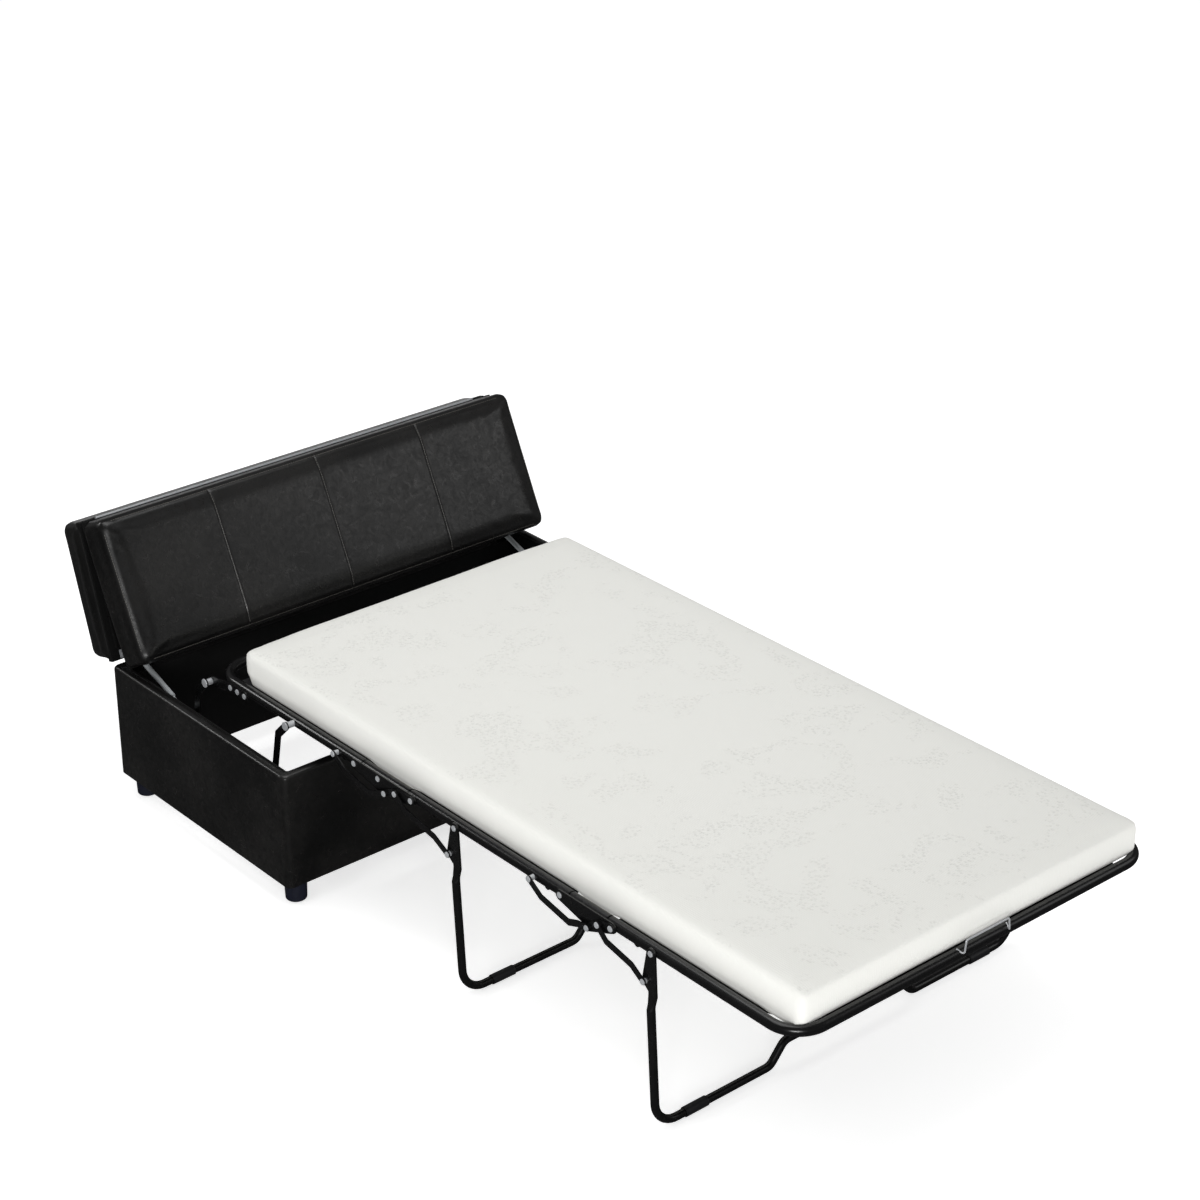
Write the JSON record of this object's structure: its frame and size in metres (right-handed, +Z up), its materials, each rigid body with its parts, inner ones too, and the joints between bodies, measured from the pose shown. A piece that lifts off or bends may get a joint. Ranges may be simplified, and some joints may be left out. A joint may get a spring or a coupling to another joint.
{
  "type": "fold out ottoman guest bed",
  "caption": "Upholstered storage ottoman whose lid folds back and whose sprung-out steel bed frame with legs and a mattress unfolds over the front.",
  "frame": {"origin": "middle of the bounding box's underside, on the floor, with the bed unfolded and the lid open", "axes": "+Y from the foot of the bed towards the ottoman's back, +Z up, X across the bed"},
  "size_m": [1.276, 2.5275, 0.7521],
  "materials": {
    "leatherette": "gloss",
    "board": "matte",
    "feet": "satin",
    "frame": "gloss",
    "zinc": "satin",
    "deck_cloth": "matte",
    "mattress_knit": "matte",
    "pads": "matte",
    "gas_spring": "satin"
  },
  "bodies": {
    "base": {"base_cover": "leatherette", "base_front_board": "board", "base_back_board": "board", "base_side_boards": "board", "base_corner_blocks": "board", "base_feet": "feet", "lift_brackets": "frame", "gas_base_brackets": "zinc", "base_hinge_leaf": "zinc", "base_hinge_pin": "zinc"},
    "lift_link_front": {"lift_links_front": "frame"},
    "lift_link_rear": {"lift_links_rear": "frame"},
    "head": {"head_loop": "frame", "lift_plates": "zinc", "head_studs": "zinc", "head_cross_bar": "frame", "head_deck": "deck_cloth"},
    "spacer_1": {"spacer_tubes_1": "frame", "hinge_plates_1": "frame", "hinge_pins_1": "zinc"},
    "middle": {"middle_rails": "frame", "middle_studs": "zinc", "middle_cross_bars": "frame", "middle_deck": "deck_cloth", "mattress": "mattress_knit"},
    "crank_1": {"bell_cranks_1": "frame"},
    "control_link_1": {"control_links_1": "frame", "control_link_rivets_1": "zinc"},
    "leg_1": {"leg_1": "frame", "leg_pads_1": "pads", "brace_studs_1": "zinc"},
    "brace_1": {"braces_1": "frame", "brace_rivets_1": "zinc"},
    "spacer_2": {"spacer_tubes_2": "frame", "hinge_plates_2": "frame", "hinge_pins_2": "zinc"},
    "foot": {"foot_loop": "frame", "foot_studs": "zinc", "foot_cross_bar": "frame", "foot_deck": "deck_cloth", "foot_wire": "zinc"},
    "crank_2": {"bell_cranks_2": "frame"},
    "control_link_2": {"control_links_2": "frame", "control_link_rivets_2": "zinc"},
    "leg_2": {"leg_2": "frame", "leg_pads_2": "pads", "brace_studs_2": "zinc"},
    "brace_2": {"braces_2": "frame", "brace_rivets_2": "zinc"},
    "lid_rear": {"rear_lid_board": "board", "rear_lid_cushion": "leatherette", "rear_lid_hinge_leaf": "zinc", "fold_hinge_leaf_rear": "zinc", "fold_hinge_pin": "zinc", "gas_lid_brackets": "zinc"},
    "lid_front": {"front_lid_board": "board", "front_lid_cushion": "leatherette", "fold_hinge_leaf_front": "zinc"},
    "gas_rod": {"gas_rods": "gas_spring"},
    "gas_cylinder": {"gas_cylinders": "gas_spring"}
  },
  "joints": [
    {"name": "lift", "type": "hinge", "parent": "base", "child": "lift_link_front", "pos_m": [0, 0.51262, 0.25924], "axis": [-1, 0, 0], "range_deg": [0, 42]},
    {"name": "lift_rear", "type": "hinge", "parent": "base", "child": "lift_link_rear", "pos_m": [0, 0.85262, 0.23524], "axis": [-1, 0, 0], "range_deg": [0, 42.02]},
    {"name": "bed_level", "type": "hinge", "parent": "lift_link_front", "child": "head", "pos_m": [0, 0.42342, 0.427], "axis": [-1, 0, 0], "range_deg": [-42.02, 0]},
    {"name": "fold_1", "type": "hinge", "parent": "head", "child": "spacer_1", "pos_m": [0, 0.17842, 0.427], "axis": [-1, 0, 0], "range_deg": [0, 52], "deforming": ["mattress"]},
    {"name": "fold_1b", "type": "hinge", "parent": "spacer_1", "child": "middle", "pos_m": [0, -0.03958, 0.427], "axis": [-1, 0, 0], "range_deg": [0, 52.02], "deforming": ["mattress"]},
    {"name": "crank_1_turn", "type": "hinge", "parent": "spacer_1", "child": "crank_1", "pos_m": [0, -0.03958, 0.427], "axis": [1, 0, 0], "range_deg": [0, 57.98]},
    {"name": "control_link_1_turn", "type": "hinge", "parent": "head", "child": "control_link_1", "pos_m": [0, 0.24542, 0.427], "axis": [-1, 0, 0], "range_deg": [0, 62.24]},
    {"name": "leg_1_fold", "type": "hinge", "parent": "middle", "child": "leg_1", "pos_m": [0, -0.19458, 0.427], "axis": [-1, 0, 0], "range_deg": [0, 30.02]},
    {"name": "brace_1_turn", "type": "hinge", "parent": "leg_1", "child": "brace_1", "pos_m": [0, -0.17758, 0.355], "axis": [1, 0, 0], "range_deg": [0, 46.97]},
    {"name": "fold_2", "type": "hinge", "parent": "middle", "child": "spacer_2", "pos_m": [0, -0.55158, 0.427], "axis": [-1, 0, 0], "range_deg": [0, 86], "deforming": ["mattress"]},
    {"name": "fold_2b", "type": "hinge", "parent": "spacer_2", "child": "foot", "pos_m": [0, -0.71858, 0.427], "axis": [-1, 0, 0], "range_deg": [0, 86.02], "deforming": ["mattress"]},
    {"name": "crank_2_turn", "type": "hinge", "parent": "spacer_2", "child": "crank_2", "pos_m": [0, -0.71858, 0.427], "axis": [1, 0, 0], "range_deg": [0, 126.74]},
    {"name": "control_link_2_turn", "type": "hinge", "parent": "middle", "child": "control_link_2", "pos_m": [0, -0.46058, 0.427], "axis": [-1, 0, 0], "range_deg": [0, 89.78]},
    {"name": "leg_2_fold", "type": "hinge", "parent": "foot", "child": "leg_2", "pos_m": [0, -0.84158, 0.427], "axis": [-1, 0, 0], "range_deg": [0, 80.02]},
    {"name": "brace_2_turn", "type": "hinge", "parent": "leg_2", "child": "brace_2", "pos_m": [0, -0.82658, 0.355], "axis": [1, 0, 0], "range_deg": [0, 60.19]},
    {"name": "lid_close", "type": "hinge", "parent": "base", "child": "lid_rear", "pos_m": [0, 1.06662, 0.359], "axis": [1, 0, 0], "range_deg": [0, 63.5]},
    {"name": "lid_unfold", "type": "hinge", "parent": "lid_rear", "child": "lid_front", "pos_m": [0, 1.16825, 0.7092], "axis": [-1, 0, 0], "range_deg": [0, 171.09]},
    {"name": "gas_cylinder_turn", "type": "hinge", "parent": "lid_rear", "child": "gas_cylinder", "pos_m": [0, 1.06012, 0.37877], "axis": [1, 0, 0], "range_deg": [-66.57, 0]},
    {"name": "gas_slide", "type": "slide", "parent": "gas_cylinder", "child": "gas_rod", "axis": [0, 0.9462, 0.3235], "range_m": [0, 0.01865]}
  ],
  "couplings": [
    {"joint": "lift_rear", "follows": "lift", "ratio": 1},
    {"joint": "bed_level", "follows": "lift", "ratio": -1},
    {"joint": "fold_1b", "follows": "fold_1", "ratio": 1},
    {"joint": "crank_1_turn", "follows": "fold_1", "ratio": 1.1146},
    {"joint": "control_link_1_turn", "follows": "fold_1", "ratio": 1.1966},
    {"joint": "leg_1_fold", "follows": "fold_1", "ratio": 0.57692},
    {"joint": "brace_1_turn", "follows": "fold_1", "ratio": 0.90278},
    {"joint": "fold_2b", "follows": "fold_2", "ratio": 1},
    {"joint": "crank_2_turn", "follows": "fold_2", "ratio": 1.4735},
    {"joint": "control_link_2_turn", "follows": "fold_2", "ratio": 1.0437},
    {"joint": "leg_2_fold", "follows": "fold_2", "ratio": 0.93023},
    {"joint": "brace_2_turn", "follows": "fold_2", "ratio": 0.69963},
    {"joint": "lid_unfold", "follows": "lid_close", "ratio": 2.694},
    {"joint": "gas_cylinder_turn", "follows": "lid_close", "ratio": -1.048},
    {"joint": "gas_slide", "follows": "lid_close", "m_per_rad": 0.016649}
  ]
}
